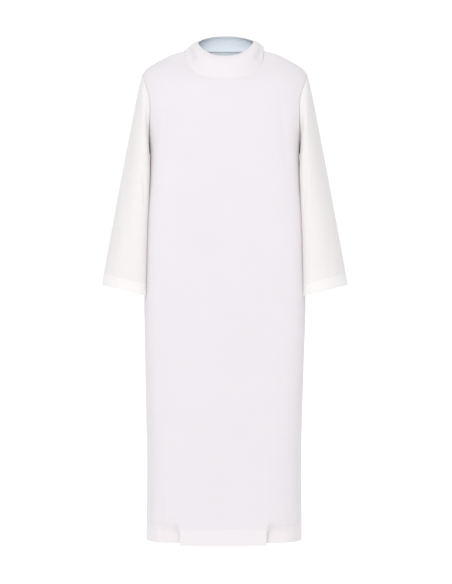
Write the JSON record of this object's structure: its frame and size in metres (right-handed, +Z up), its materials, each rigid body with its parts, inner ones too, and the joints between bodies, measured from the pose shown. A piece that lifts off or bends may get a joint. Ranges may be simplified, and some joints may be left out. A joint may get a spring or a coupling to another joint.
{
  "type": "alb robe",
  "caption": "Long off-white alb with a soft stand collar and straight set-in sleeves, filled out as when worn, open at neck, cuffs and hem.",
  "frame": {"origin": "middle of the neck base, on the line that joins the two neck points of the shoulder seams, where the wearer's shoulders hold the garment", "axes": "+Z up along the garment's length, -Y the way the wearer faces, +X the wearer's left"},
  "size_m": [0.6966, 0.257, 1.447],
  "materials": {
    "cloth": "matt plain-woven off-white cloth",
    "collar_cloth": "the same cloth, doubled"
  },
  "bodies": {
    "root": {"front": "cloth", "back": "cloth", "sleeve_right": "cloth", "sleeve_left": "cloth", "collar": "collar_cloth"}
  },
  "joints": []
}
